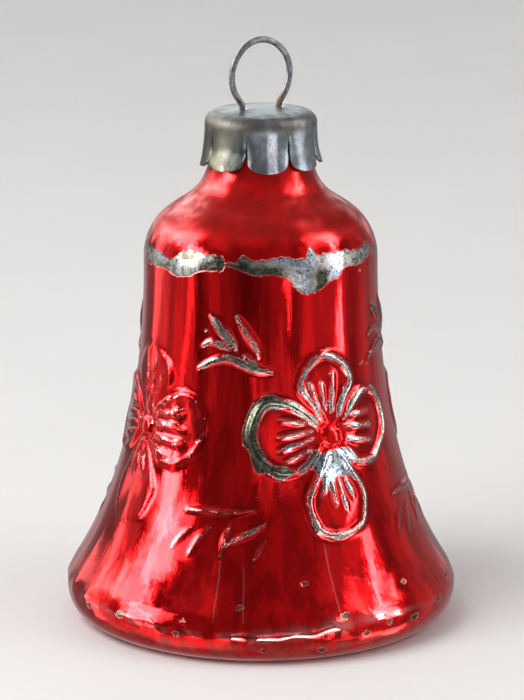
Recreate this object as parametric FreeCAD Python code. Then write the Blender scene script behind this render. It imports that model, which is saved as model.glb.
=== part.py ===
import FreeCAD, Part
import math
import os

# Hollow glass bell ornament with a stamped crown cap and a bent wire hanger.
# Millimetres, +Z up. The origin is the centre of the ring that the bell stands on.
# The front of the bell faces -Y and the hanger loop lies in the XZ plane.

# Bell outline, on the lacquered outside: radii from the axis, heights above the standing ring.
BELL_RADIUS = 23.6
LIP_LOWER_ROLL = 3.6
LIP_UPPER_ROLL = 5.3
LIP_UPPER_ANGLE = 33.0
FLARE_LOWER_HANDLE = 11.0
FLARE_UPPER_HANDLE = 15.0
WAIST_RADIUS = 14.0
WAIST_HEIGHT = 44.4
SHOULDER_ROLL = 7.2
SHOULDER_ANGLE = 57.5
NECK_FILLET = 5.9
NECK_RADIUS = 6.2
NECK_HEIGHT = 60.9

# Underside: a narrow flat ring to stand on, round a shallow dimple.
RING_WIDTH = 1.4
DIMPLE_HEIGHT = 2.6
DIMPLE_RIM_HANDLE = 6.0
DIMPLE_TOP_HANDLE = 8.0

# Layers of the bell, from the outside in.
LACQUER_THICKNESS = 0.08
GLASS_THICKNESS = 0.70
SILVER_THICKNESS = 0.05
LACQUER_EDGE_HEIGHT = 57.6
SILVER_EDGE_HEIGHT = 60.5

# Crown cap: stamped sheet, its inside corner just clear of the neck's rim.
SHEET = 0.3
RIM_GAP = 0.6
SKIRT_RADIUS = 6.7
CROWN_CORNER = 1.4
CROWN_RISE = 0.3
SKIRT_BEND_HEIGHT = 58.6
PETAL_TIP_RADIUS = 7.15
PETAL_TIP_HEIGHT = 55.3
PETAL_COUNT = 8
PETAL_NOTCH_DEPTH = 1.5
SLIT_WIDTH = 0.22
SLIT_TOP_HEIGHT = 59.4
WIRE_HOLE_RADIUS = 0.575

# Hanger wire, drawn as half of its centreline: the other half is its mirror image.
WIRE_RADIUS = 0.375
LOOP_RADIUS = 4.1
LOOP_HEIGHT = 66.1
LEG_SPREAD = 2.5
LOOP_END_ANGLE = 35.0
KNEE_BEND = 0.8
LEG_STRAIGHT_END = 58.6
LEG_BEND = 1.5
GRIP_RADIUS = 5.02
GRIP_HEIGHT = 55.6
GRIP_BEND = 2.0
TIP_RADIUS = 3.9
TIP_HEIGHT = 43.0

# Points along an offset curve between its two ends.
OFFSET_STEPS = 14

UP = FreeCAD.Vector(0, 0, 1)
ORIGIN = FreeCAD.Vector(0, 0, 0)


def section_point(radius, height):
    return FreeCAD.Vector(radius, 0, height)


def turned(degrees):
    """Unit vector in the section plane, at an angle above the outward direction."""
    angle = math.radians(degrees)
    return section_point(math.cos(angle), math.sin(angle))


def line(start, end):
    return Part.LineSegment(start, end).toShape()


def arc(centre, radius, first, last):
    """Arc in the section plane between two angles, in degrees."""
    middle = (first + last) / 2
    points = [centre + turned(angle) * radius for angle in (first, middle, last)]
    return Part.Arc(*points).toShape()


def offset_curve(poles, depth):
    """Cubic curve through four poles, moved to its left by depth."""
    bezier = Part.BezierCurve()
    bezier.setPoles(poles)
    if depth == 0:
        return bezier.toShape()
    points = []
    tangents = []
    for step in range(OFFSET_STEPS + 1):
        place = step / OFFSET_STEPS
        tangent = bezier.tangent(place)[0]
        left = FreeCAD.Vector(-tangent.z, 0, tangent.x)
        points.append(bezier.value(place) + left * depth)
        tangents.append(tangent)
    curve = Part.BSplineCurve()
    curve.interpolate(Points=points, InitialTangent=tangents[0], FinalTangent=tangents[-1])
    return curve.toShape()


def bell_edges(depth, top):
    """Section of the bell from the axis below to the neck above, a depth inside the outside."""
    ring_outer = BELL_RADIUS - LIP_LOWER_ROLL
    ring_inner = ring_outer - RING_WIDTH
    dimple_poles = [
        section_point(0, DIMPLE_HEIGHT),
        section_point(DIMPLE_TOP_HANDLE, DIMPLE_HEIGHT),
        section_point(ring_inner - DIMPLE_RIM_HANDLE, 0),
        section_point(ring_inner, 0),
    ]
    lower_centre = section_point(ring_outer, LIP_LOWER_ROLL)
    upper_centre = section_point(BELL_RADIUS - LIP_UPPER_ROLL, LIP_LOWER_ROLL)
    flare_start = upper_centre + turned(LIP_UPPER_ANGLE) * LIP_UPPER_ROLL
    flare_end = section_point(WAIST_RADIUS, WAIST_HEIGHT)
    flare_poles = [
        flare_start,
        flare_start + turned(LIP_UPPER_ANGLE + 90) * FLARE_LOWER_HANDLE,
        flare_end - UP * FLARE_UPPER_HANDLE,
        flare_end,
    ]
    shoulder_centre = section_point(WAIST_RADIUS - SHOULDER_ROLL, WAIST_HEIGHT)
    roof_normal = turned(SHOULDER_ANGLE)
    roof_start = shoulder_centre + roof_normal * (SHOULDER_ROLL - depth)
    fillet_radius = NECK_FILLET + depth
    fillet_centre_radius = NECK_RADIUS + NECK_FILLET
    roof_direction = turned(SHOULDER_ANGLE + 90)
    fillet_reach = fillet_centre_radius - roof_start.x - roof_normal.x * fillet_radius
    roof_end = roof_start + roof_direction * (fillet_reach / roof_direction.x)
    fillet_centre = roof_end + roof_normal * fillet_radius
    neck_start = section_point(NECK_RADIUS - depth, fillet_centre.z)
    neck_end = section_point(NECK_RADIUS - depth, top)
    return [
        offset_curve(dimple_poles, depth),
        line(section_point(ring_inner, depth), section_point(ring_outer, depth)),
        arc(lower_centre, LIP_LOWER_ROLL - depth, -90, 0),
        arc(upper_centre, LIP_UPPER_ROLL - depth, 0, LIP_UPPER_ANGLE),
        offset_curve(flare_poles, depth),
        arc(shoulder_centre, SHOULDER_ROLL - depth, 0, SHOULDER_ANGLE),
        line(roof_start, roof_end),
        arc(fillet_centre, fillet_radius, 180 + SHOULDER_ANGLE, 180),
        line(neck_start, neck_end),
    ]


def end_points(edges):
    """First point on the axis and last point at the open end of a chain of section edges."""
    vertices = [vertex.Point for edge in edges for vertex in edge.Vertexes]
    lowest_radius = min(vertices, key=lambda point: abs(point.x))
    return lowest_radius, edges[-1].Vertexes[-1].Point


def revolved_shell(outer_edges, inner_edges):
    """Solid of revolution between two section chains that both start on the axis."""
    outer_axis, outer_end = end_points(outer_edges)
    inner_axis, inner_end = end_points(inner_edges)
    joined = [line(outer_axis, inner_axis), line(outer_end, inner_end)]
    edges = Part.__sortEdges__(outer_edges + inner_edges + joined)
    return Part.Face(Part.Wire(edges)).revolve(ORIGIN, UP, 360)


def bell_layer(outer_depth, thickness, top):
    return revolved_shell(bell_edges(outer_depth, top), bell_edges(outer_depth + thickness, top))


def cap_edges(depth):
    """Section of the cap from the axis to a petal's tip, a depth inside the outside."""
    crown_edge = NECK_HEIGHT + RIM_GAP + SHEET
    corner_centre = section_point(SKIRT_RADIUS - CROWN_CORNER, crown_edge - CROWN_CORNER)
    crown_centre = section_point(0, crown_edge + CROWN_RISE - depth)
    crown_rim = section_point(corner_centre.x, crown_edge - depth)
    crown_middle = section_point(crown_rim.x / 2, crown_edge + CROWN_RISE * 3 / 4 - depth)
    skirt = SKIRT_RADIUS - depth
    bend = section_point(skirt, SKIRT_BEND_HEIGHT)
    flare = [
        bend,
        section_point(skirt, (SKIRT_BEND_HEIGHT + PETAL_TIP_HEIGHT) / 2),
        section_point(PETAL_TIP_RADIUS - depth, PETAL_TIP_HEIGHT),
    ]
    flare_curve = Part.BezierCurve()
    flare_curve.setPoles(flare)
    return [
        Part.Arc(crown_centre, crown_middle, crown_rim).toShape(),
        arc(corner_centre, CROWN_CORNER - depth, 90, 0),
        line(section_point(skirt, corner_centre.z), bend),
        flare_curve.toShape(),
    ]


def scallop_arc(side, half_pitch, notch):
    """Quarter of a petal's round end, from its tip up to the notch beside it."""
    radius = (half_pitch ** 2 + PETAL_NOTCH_DEPTH ** 2) / (2 * PETAL_NOTCH_DEPTH)
    tip = FreeCAD.Vector(0, side * half_pitch, PETAL_TIP_HEIGHT)
    centre = tip + UP * radius
    middle = centre + ((notch + tip) / 2 - centre).normalize() * radius
    return Part.Arc(tip, middle, notch).toShape()


def notch_cutter(angle):
    """Wedge between two petal tips with the slit above it, along one petal boundary."""
    half_pitch = PETAL_TIP_RADIUS * math.sin(math.pi / PETAL_COUNT)
    reach = 2 * PETAL_TIP_RADIUS
    outward = FreeCAD.Vector(1, 0, 0)
    below = PETAL_TIP_HEIGHT - 1
    notch = FreeCAD.Vector(0, 0, PETAL_TIP_HEIGHT + PETAL_NOTCH_DEPTH)
    tips = [FreeCAD.Vector(0, side * half_pitch, PETAL_TIP_HEIGHT) for side in (-1, 1)]
    feet = [FreeCAD.Vector(0, tip.y, below) for tip in tips]
    outline = [scallop_arc(side, half_pitch, notch) for side in (-1, 1)]
    outline += [line(tips[0], feet[0]), line(feet[0], feet[1]), line(feet[1], tips[1])]
    wedge = Part.Face(Part.Wire(Part.__sortEdges__(outline))).extrude(outward * reach)
    slit_round = SLIT_WIDTH / 2
    slit_height = SLIT_TOP_HEIGHT - slit_round - below
    slit_foot = FreeCAD.Vector(0, 0, below)
    slit = Part.makeBox(reach, SLIT_WIDTH, slit_height, slit_foot - FreeCAD.Vector(0, slit_round, 0))
    slit_end = Part.makeCylinder(slit_round, reach, slit_foot + UP * slit_height, outward)
    return wedge.fuse([slit, slit_end]).rotated(ORIGIN, UP, angle)


def crown_cap():
    cap = revolved_shell(cap_edges(0), cap_edges(SHEET))
    pitch = 360 / PETAL_COUNT
    cutters = [notch_cutter(pitch * index) for index in range(PETAL_COUNT)]
    for side in (-1, 1):
        hole_base = FreeCAD.Vector(side * LEG_SPREAD, 0, NECK_HEIGHT - 1)
        cutters.append(Part.makeCylinder(WIRE_HOLE_RADIUS, 5, hole_base, UP))
    return cap.cut(cutters)


def bent_leg(corners, bends):
    """Edges of a polyline whose inner corners are rounded to the given radii."""
    edges = []
    start = corners[0]
    for before, corner, after, bend in zip(corners, corners[1:], corners[2:], bends):
        incoming = (corner - before).normalize()
        outgoing = (after - corner).normalize()
        half_turn = incoming.getAngle(outgoing) / 2
        run = bend * math.tan(half_turn)
        bend_start = corner - incoming * run
        bend_end = corner + outgoing * run
        inward = (outgoing - incoming).normalize()
        bend_middle = corner + inward * (bend / math.cos(half_turn) - bend)
        edges.append(line(start, bend_start))
        edges.append(Part.Arc(bend_start, bend_middle, bend_end).toShape())
        start = bend_end
    edges.append(line(start, corners[-1]))
    return edges


def leg_corners(side):
    """Corners of one leg's centreline, from the end of the loop down to the tip."""
    loop_end = section_point(0, LOOP_HEIGHT) + turned(-LOOP_END_ANGLE) * LOOP_RADIUS
    knee_drop = (loop_end.x - LEG_SPREAD) / math.tan(math.radians(LOOP_END_ANGLE))
    return [
        section_point(side * loop_end.x, loop_end.z),
        section_point(side * LEG_SPREAD, loop_end.z - knee_drop),
        section_point(side * LEG_SPREAD, LEG_STRAIGHT_END),
        section_point(side * GRIP_RADIUS, GRIP_HEIGHT),
        section_point(side * TIP_RADIUS, TIP_HEIGHT),
    ]


def hanger_wire():
    """Round wire swept up the right leg, round the loop and down the left leg."""
    bends = [KNEE_BEND, LEG_BEND, GRIP_BEND]
    rising = leg_corners(1)[::-1]
    falling = leg_corners(-1)
    loop = arc(section_point(0, LOOP_HEIGHT), LOOP_RADIUS, -LOOP_END_ANGLE, 180 + LOOP_END_ANGLE)
    path = Part.Wire(bent_leg(rising, bends[::-1]) + [loop] + bent_leg(falling, bends))
    section = Part.Wire(Part.makeCircle(WIRE_RADIUS, rising[0], rising[1] - rising[0]))
    return path.makePipeShell([section], True, True)


def save(name, shape):
    solid, = shape.Solids
    solid.exportStep(f"parts/{name}.step")


os.makedirs("parts", exist_ok=True)
glass_depth = LACQUER_THICKNESS
silver_depth = LACQUER_THICKNESS + GLASS_THICKNESS
save("red_lacquer", bell_layer(0, LACQUER_THICKNESS, LACQUER_EDGE_HEIGHT))
save("glass_shell", bell_layer(glass_depth, GLASS_THICKNESS, NECK_HEIGHT))
save("silver_lining", bell_layer(silver_depth, SILVER_THICKNESS, SILVER_EDGE_HEIGHT))
save("crown_cap", crown_cap())
save("hanger_wire", hanger_wire())
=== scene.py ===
import math

import bpy
import numpy as np
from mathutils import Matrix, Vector
from mathutils.geometry import delaunay_2d_cdt


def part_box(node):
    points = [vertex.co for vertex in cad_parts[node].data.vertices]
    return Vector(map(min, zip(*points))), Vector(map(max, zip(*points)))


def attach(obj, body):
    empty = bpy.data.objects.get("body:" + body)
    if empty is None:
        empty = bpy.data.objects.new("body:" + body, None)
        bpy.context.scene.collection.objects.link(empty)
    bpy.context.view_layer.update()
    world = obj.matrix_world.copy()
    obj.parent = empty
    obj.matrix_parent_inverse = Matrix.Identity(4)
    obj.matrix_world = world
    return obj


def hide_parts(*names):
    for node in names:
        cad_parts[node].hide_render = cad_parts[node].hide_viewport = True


# A mirrored glass bell in worn red lacquer, with a stamped metal cap and a wire hanger.
# Lengths below are millimetres, angles are degrees, and azimuths run from -Y towards +X.

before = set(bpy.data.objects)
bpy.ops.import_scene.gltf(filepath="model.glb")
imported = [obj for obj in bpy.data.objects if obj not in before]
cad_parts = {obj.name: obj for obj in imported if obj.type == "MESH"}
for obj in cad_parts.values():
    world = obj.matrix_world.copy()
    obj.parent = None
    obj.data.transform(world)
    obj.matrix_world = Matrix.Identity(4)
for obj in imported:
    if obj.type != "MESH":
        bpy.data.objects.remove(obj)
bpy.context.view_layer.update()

MM = 0.001
PER_MM = 1 / MM

# Where the camera stands: the object is seen from a little left of the front flower.
VIEW_AZIMUTH = -30.0
VIEW_ELEVATION = 13.5
VIEW_DISTANCE = 430.0
VIEW_HEIGHT = 32.5
VIEW_LENS = 183.3
VIEW_SHIFT = 0.0017

# The bell's outline, the same curve as the CAD bell's outside.
BELL_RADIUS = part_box("red_lacquer")[1].x * PER_MM
NECK_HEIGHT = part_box("glass_shell")[1].z * PER_MM
LACQUER_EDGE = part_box("red_lacquer")[1].z * PER_MM
SILVER_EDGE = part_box("silver_lining")[1].z * PER_MM
LIP_LOWER_ROLL = 3.6
LIP_UPPER_ROLL = 5.3
LIP_UPPER_ANGLE = 33.0
FLARE_LOWER_HANDLE = 11.0
FLARE_UPPER_HANDLE = 15.0
WAIST_RADIUS = 14.0
WAIST_HEIGHT = 44.4
SHOULDER_ROLL = 7.2
SHOULDER_ANGLE = 57.5
NECK_FILLET = 5.9
NECK_RADIUS = 6.2
RING_WIDTH = 1.4
DIMPLE_HEIGHT = 2.6
DIMPLE_RIM_HANDLE = 6.0
DIMPLE_TOP_HANDLE = 8.0
LACQUER_DEPTH = 0.08
GLASS_DEPTH = 0.78
SILVER_DEPTH = 0.83

# Relief moulded in the glass: four flowers with a leaf sprig between each pair.
FLOWER_AZIMUTH = 1.0
FLOWER_HEIGHT = 25.3
COPIES = 4
COLUMNS = 420
RIDGE_HEIGHT = 0.5
RIDGE_WIDTH = 0.44
PILLOW_HEIGHT = 0.2
RIB_HEIGHT = 0.34
RIB_WIDTH = 0.38
FINE_RIB_WIDTH = 0.27
SEAM_HEIGHT = 0.15
SEAM_LEVEL = 4.3
BUTTON_RADIUS = 1.2
BUTTON_HEIGHT = 0.34

# Heights between which the relief lies.
FLOWER_FOOT = 10.5
FLOWER_TOP = 38.5
SPRIG_TOP = 41.5
# Heights up to which the shoulder and the roof have their own spacing of rows.
SHOULDER_TOP = 49.0
ROOF_TOP = 55.0
# Above this height the neck is stretched a little, to meet its ragged edge.
NECK_FOOT = 56.0
# A flower and a sprig reach this many degrees either side of their middle.
FLOWER_REACH = 42
SPRIG_REACH = 26

# The first row of points on the underside lies this far from its middle.
FIRST_ROW = 0.9
# The wobble of blown glass stops this far below the widest place, measured along the outline.
WOBBLE_STOP = 6.0
# Wear of lacquer that is whole: its distance inside a worn edge, so far below zero.
WHOLE = -5.0

# Each petal's ridge: degrees round from the flower's centre, millimetres above it.
PETALS = {
    "left": [
        (-35.2, 1.2), (-29.5, 4.3), (-19.5, 4.2), (-8.5, 2.2), (-4.0, 0.0),
        (-9.5, -2.3), (-15.5, -3.5), (-23.5, -3.7), (-32.2, -1.8),
    ],
    "right": [
        (33.8, 1.3), (30.3, 3.6), (25.2, 4.5), (18.5, 4.4), (9.5, 2.5), (4.0, 0.1),
        (11.0, -3.0), (14.0, -3.4), (21.5, -3.5), (27.0, -2.4), (32.3, -0.8),
    ],
    "top": [
        (-13.0, 6.5), (-9.0, 8.5), (-0.2, 9.6), (9.5, 8.2), (13.3, 6.2),
        (9.0, 4.4), (2.5, 1.6), (-2.5, 1.6), (-6.5, 3.6), (-11.3, 5.2),
    ],
    "bottom": [
        (-12.3, -7.2), (-9.2, -5.2), (-3.0, -2.0), (3.0, -2.0), (8.5, -4.6), (12.0, -6.8),
        (10.6, -9.0), (7.8, -10.4), (-0.8, -11.3), (-7.8, -10.8), (-10.8, -9.6),
    ],
}
# Each petal's raised veins, from the heart of the flower outwards.
VEINS = [
    [(-2.1, 3.0), (-3.4, 6.6)], [(1.0, 3.0), (3.8, 7.2)],
    [(-4.6, 3.0), (-9.2, 6.6)], [(5.0, 3.0), (9.8, 5.6)],
    [(-11.0, 1.8), (-22.5, 2.5)], [(-9.0, 0.9), (-23.5, 0.4)],
    [(-9.0, 0.0), (-23.5, -1.2)], [(-10.0, -1.2), (-20.0, -2.4)],
    [(11.0, 2.1), (23.0, 2.1)], [(8.0, 0.9), (23.8, 0.4)], [(8.0, -0.6), (23.0, -1.4)],
    [(-4.4, -4.4), (-6.6, -6.8)], [(-2.0, -5.2), (-1.4, -8.0)],
    [(1.0, -5.1), (2.9, -8.6)], [(4.2, -5.2), (7.2, -7.2)],
]
# Leaves of a sprig: degrees round from the sprig's middle with height above the ring, half-width, relief.
SPRIG_AZIMUTH = FLOWER_AZIMUTH - 44.5
LEAVES = [
    ([(-10.8, 39.7), (-5.2, 38.1), (1.5, 36.3)], 0.58, 0.34),
    ([(2.0, 39.8), (6.5, 37.9), (11.2, 36.1), (12.4, 35.0)], 0.48, 0.34),
    ([(-15.0, 36.0), (-10.0, 36.6), (-4.0, 36.2), (2.0, 35.8)], 0.4, 0.24),
    ([(-16.5, 33.3), (-8.5, 34.4), (-1.5, 34.8), (5.0, 34.2), (10.5, 33.6), (18.5, 33.2)], 0.5, 0.28),
    ([(5.5, 35.2), (9.5, 34.4), (13.0, 33.9)], 0.28, 0.16),
    ([(-15.5, 17.0), (-6.0, 17.1), (1.0, 17.0), (10.8, 17.5)], 0.48, 0.2),
    ([(-5.2, 15.4), (-9.0, 14.0), (-12.5, 12.0)], 0.42, 0.1),
    ([(2.8, 16.1), (1.0, 14.6), (-0.6, 12.3)], 0.38, 0.15),
    ([(0.8, 13.4), (6.0, 14.4), (11.0, 15.2), (15.3, 16.0)], 0.42, 0.17),
    ([(15.2, 14.1), (12.5, 12.9), (11.0, 11.9)], 0.36, 0.13),
    ([(-12.5, 15.2), (-16.5, 14.0), (-19.5, 12.6)], 0.4, 0.07),
]
# The leaves from this number on are the sprig's lower ones, which hardly rubbed bare.
LOWER_LEAVES = 5
# These two came out of the mould so faintly that they never rubbed at all.
FAINT_LEAVES = (6, 10)


# ---------------------------------------------------------------- small helpers


def wrapped(angle):
    """The same angle between -180 and 180 degrees."""
    return (angle + 180) % 360 - 180


def smoothstep(low, high, value):
    share = np.clip((value - low) / (high - low), 0, 1)
    return share * share * (3 - 2 * share)


def unit(rows):
    """Each row scaled to length one."""
    return rows / np.sqrt((rows ** 2).sum(1))[:, None]


def distance_along(points):
    """Distance from the first point to each point of a line."""
    return np.concatenate([[0], np.cumsum(np.sqrt((np.diff(points, axis=0) ** 2).sum(1)))])


def resample(points, run, places):
    """Points at other places along a line."""
    return np.stack([np.interp(places, run, column) for column in points.T], 1)


def bezier(poles, count=160):
    place = np.linspace(0, 1, count)[:, None]
    left = 1 - place
    a, b, c, d = np.array(poles, float)
    return left ** 3 * a + 3 * left ** 2 * place * b + 3 * left * place ** 2 * c + place ** 3 * d


def arc(centre, radius, first, last, count=90):
    angle = np.radians(np.linspace(first, last, count))
    return np.array(centre) + radius * np.stack([np.cos(angle), np.sin(angle)], 1)


def straight(start, end, count=40):
    return np.linspace(start, end, count)


def toward(angle):
    return np.array([math.cos(math.radians(angle)), math.sin(math.radians(angle))])


def smooth_curve(points, closed, steps=10):
    """Curve through the points (Catmull-Rom)."""
    points = np.array(points, float)
    count = len(points)
    if closed:
        padded = np.concatenate([points[-1:], points, points[:2]])
    else:
        padded = np.concatenate([2 * points[:1] - points[1:2], points, 2 * points[-1:] - points[-2:-1]])
    spans = count if closed else count - 1
    place = np.linspace(0, 1, steps, endpoint=False)[:, None]
    curve = []
    for index in range(spans):
        a, b, c, d = padded[index:index + 4]
        curve.append(
            0.5 * (2 * b + (c - a) * place + (2 * a - 5 * b + 4 * c - d) * place ** 2
                   + (3 * b - a - 3 * c + d) * place ** 3)
        )
    if not closed:
        curve.append(points[-1:])
    return np.concatenate(curve)


def to_segments(points, starts, ends):
    """Distance from each point to the nearest segment, and how far along the whole line that is."""
    span = ends - starts
    length = np.sqrt((span ** 2).sum(1))
    before = np.concatenate([[0], np.cumsum(length)[:-1]])
    best = np.full(len(points), 1e9)
    along = np.zeros(len(points))
    for start, direction, size, base in zip(starts, span, length, before):
        share = np.clip(((points - start) @ direction) / max(size * size, 1e-12), 0, 1)
        gap = np.sqrt(((points - start - share[:, None] * direction) ** 2).sum(1))
        nearer = gap < best
        best[nearer] = gap[nearer]
        along[nearer] = (base + share * size)[nearer] / length.sum()
    return best, along


def inside(points, outline):
    """Which points lie inside a closed outline."""
    result = np.zeros(len(points), bool)
    for start, end in zip(outline, np.roll(outline, -1, 0)):
        crosses = (start[1] > points[:, 1]) != (end[1] > points[:, 1])
        rise = end[1] - start[1]
        if abs(rise) > 1e-9:
            across = start[0] + (points[:, 1] - start[1]) * (end[0] - start[0]) / rise
            result ^= crosses & (points[:, 0] < across)
    return result


def waves(seed, around, upward, count=7):
    """A smooth random function of azimuth and height, about -1 to 1, the same on every run."""
    random = np.random.default_rng(seed)
    parts = []
    for _ in range(count):
        turns = random.integers(around[0], around[1] + 1)
        rate = random.uniform(-upward, upward)
        parts.append((turns, rate, random.uniform(0, 2 * math.pi)))

    def value(azimuth, height):
        angle = np.radians(azimuth)
        total = sum(np.sin(turns * angle + rate * height + phase) for turns, rate, phase in parts)
        return total / math.sqrt(count)

    return value


def on_circle(radius, azimuth, height):
    """Points at a radius from the axis, an azimuth in degrees and a height."""
    angle = np.radians(azimuth)
    return np.stack(np.broadcast_arrays(radius * np.sin(angle), -radius * np.cos(angle), height), -1)


def ring_faces(rings, sides, first=0, inward=False):
    """Quads between neighbouring rings of points, numbered from the first point on."""
    faces = []
    for ring in range(rings - 1):
        low = first + ring * sides
        for here in range(sides):
            after = (here + 1) % sides
            quad = [low + here, low + after, low + sides + after, low + sides + here]
            faces.append([quad[0], quad[3], quad[2], quad[1]] if inward else quad)
    return faces


def make_object(name, points, faces):
    """Smooth mesh object from points in millimetres."""
    mesh = bpy.data.meshes.new(name)
    mesh.from_pydata((np.asarray(points) * MM).tolist(), [], [list(map(int, face)) for face in faces])
    mesh.validate()
    mesh.shade_smooth()
    piece = bpy.data.objects.new(name, mesh)
    bpy.context.scene.collection.objects.link(piece)
    return piece


def add_attribute(piece, name, values):
    attribute = piece.data.attributes.new(name, "FLOAT", "POINT")
    attribute.data.foreach_set("value", np.asarray(values, np.float32).ravel())


def bake_modifiers(piece, sharp_angle):
    """Replaces the mesh by its modified form, with creases sharper than an angle kept crisp."""
    graph = bpy.context.evaluated_depsgraph_get()
    shaped = piece.evaluated_get(graph)
    mesh = bpy.data.meshes.new_from_object(shaped, preserve_all_data_layers=True, depsgraph=graph)
    piece.modifiers.clear()
    piece.data = mesh
    mesh.set_sharp_from_angle(angle=math.radians(sharp_angle))


def hand_over(piece, body, node):
    """Lets a piece ride a body and replace a CAD node, which is hidden."""
    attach(piece, body)
    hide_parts(node)


# ---------------------------------------------------------------- the bell's outline


def bell_outline():
    """Closely spaced outline, from the middle of the underside to the neck's rim, and its normals."""
    ring_outer = BELL_RADIUS - LIP_LOWER_ROLL
    ring_inner = ring_outer - RING_WIDTH
    upper_centre = np.array([BELL_RADIUS - LIP_UPPER_ROLL, LIP_LOWER_ROLL])
    flare_start = upper_centre + toward(LIP_UPPER_ANGLE) * LIP_UPPER_ROLL
    flare_handle = flare_start + toward(LIP_UPPER_ANGLE + 90) * FLARE_LOWER_HANDLE
    shoulder_centre = np.array([WAIST_RADIUS - SHOULDER_ROLL, WAIST_HEIGHT])
    roof_start = shoulder_centre + toward(SHOULDER_ANGLE) * SHOULDER_ROLL
    roof_way = toward(SHOULDER_ANGLE + 90)
    reach = NECK_RADIUS + NECK_FILLET - roof_start[0] - toward(SHOULDER_ANGLE)[0] * NECK_FILLET
    roof_end = roof_start + roof_way * reach / roof_way[0]
    fillet_centre = roof_end + toward(SHOULDER_ANGLE) * NECK_FILLET
    pieces = [
        bezier([
            (0, DIMPLE_HEIGHT), (DIMPLE_TOP_HANDLE, DIMPLE_HEIGHT),
            (ring_inner - DIMPLE_RIM_HANDLE, 0), (ring_inner, 0),
        ]),
        straight((ring_inner, 0), (ring_outer, 0)),
        arc((ring_outer, LIP_LOWER_ROLL), LIP_LOWER_ROLL, -90, 0),
        arc(upper_centre, LIP_UPPER_ROLL, 0, LIP_UPPER_ANGLE),
        bezier([
            flare_start, flare_handle,
            (WAIST_RADIUS, WAIST_HEIGHT - FLARE_UPPER_HANDLE), (WAIST_RADIUS, WAIST_HEIGHT),
        ]),
        arc(shoulder_centre, SHOULDER_ROLL, 0, SHOULDER_ANGLE),
        straight(roof_start, roof_end),
        arc(fillet_centre, NECK_FILLET, 180 + SHOULDER_ANGLE, 180),
        straight((NECK_RADIUS, fillet_centre[1]), (NECK_RADIUS, NECK_HEIGHT)),
    ]
    points = np.concatenate([piece[1:] if index else piece for index, piece in enumerate(pieces)])
    run = distance_along(points)
    spacing = 0.02
    even = np.arange(0, run[-1], spacing)
    points = resample(points, run, even)
    # A short moving average eases the sudden changes of curvature where two arcs meet.
    width = 25
    kernel = np.hanning(2 * width + 1)
    kernel /= kernel.sum()
    eased = np.stack([np.convolve(points[:, axis], kernel, "same") for axis in range(2)], 1)
    points[width:-width] = eased[width:-width]
    way = unit(np.gradient(points, axis=0))
    return even, points, np.stack([way[:, 1], -way[:, 0]], 1)


RUN, OUTLINE, NORMALS = bell_outline()
WIDEST = int(np.argmax(OUTLINE[:, 0]))
WIDEST_RUN = RUN[WIDEST]


def run_at(height):
    """Distance along the outline to a height on the outside of the bell."""
    return np.interp(height, OUTLINE[WIDEST:, 1], RUN[WIDEST:])


def radius_at(height):
    return np.interp(height, OUTLINE[WIDEST:, 1], OUTLINE[WIDEST:, 0])


LIP_RUN = run_at(LIP_LOWER_ROLL)
RELIEF_START = run_at(FLOWER_FOOT)
RELIEF_END = run_at(SPRIG_TOP)


def rows_along(stretches):
    """Places along the outline, from (end, spacing) stretches that follow one another."""
    places = [np.array([FIRST_ROW])]
    start = FIRST_ROW
    for end, spacing in stretches:
        count = max(1, round((end - start) / spacing))
        places.append(np.linspace(start, end, count + 1)[1:])
        start = end
    return np.concatenate(places)


def outline_rows(run):
    """Radius, height and normal at places along the outline."""
    radius = np.interp(run, RUN, OUTLINE[:, 0])
    height = np.interp(run, RUN, OUTLINE[:, 1])
    out = np.interp(run, RUN, NORMALS[:, 0])
    rise = np.interp(run, RUN, NORMALS[:, 1])
    size = np.hypot(out, rise)
    return radius, height, out / size, rise / size


# ---------------------------------------------------------------- relief and wear


class Surface:
    """Grid of azimuths by places along the outline, with what the relief and the wear do at each."""

    def __init__(self, run):
        self.run = run
        self.radius, self.height, self.out, self.rise = outline_rows(run)
        self.azimuth = np.arange(COLUMNS) * 360 / COLUMNS - 180
        shape = (len(run), COLUMNS)
        self.relief = np.zeros(shape)
        self.wear = np.full(shape, WHOLE)
        self.thin = np.zeros(shape)
        # Painted shade: how much the creases beside ridges, veins and leaves are darkened.
        self.crease_shade = np.zeros(shape)
        self.tone = np.full(shape, 0.5)

    def window(self, azimuth, reach, low, high):
        """Rows and columns near a place, and flat coordinates of the points there."""
        rows = np.where((self.height > low) & (self.height < high) & (self.run > WIDEST_RUN))[0]
        columns = np.where(np.abs(wrapped(self.azimuth - azimuth)) < reach)[0]
        away = wrapped(self.azimuth[columns] - azimuth)
        across = self.radius[rows][:, None] * np.radians(away)[None, :]
        up = np.repeat(self.run[rows], len(columns))
        return np.ix_(rows, columns), np.stack([across.ravel(), up], 1)

    def raise_to(self, name, where, values):
        """Lifts one of the grids to the given values where it is lower."""
        grid = getattr(self, name)
        grid[where] = np.maximum(grid[where], np.reshape(values, grid[where].shape))

    def scrape(self, where, depth, tone):
        """Wears the lacquer off where depth, in millimetres inside the worn edge, is above zero."""
        shape = self.wear[where].shape
        tone = np.broadcast_to(tone, np.shape(depth)).reshape(shape)
        depth = np.reshape(depth, shape)
        deeper = depth > self.wear[where]
        self.wear[where] = np.where(deeper, depth, self.wear[where])
        self.tone[where] = np.where(deeper, tone, self.tone[where])


def flat_points(points):
    """(degrees, height) points as flat coordinates: across the surface and along the outline."""
    points = np.array(points, float)
    return np.stack([radius_at(points[:, 1]) * np.radians(points[:, 0]), run_at(points[:, 1])], 1)


def flower_points(points):
    return flat_points([(around, FLOWER_HEIGHT + up) for around, up in points])


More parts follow.
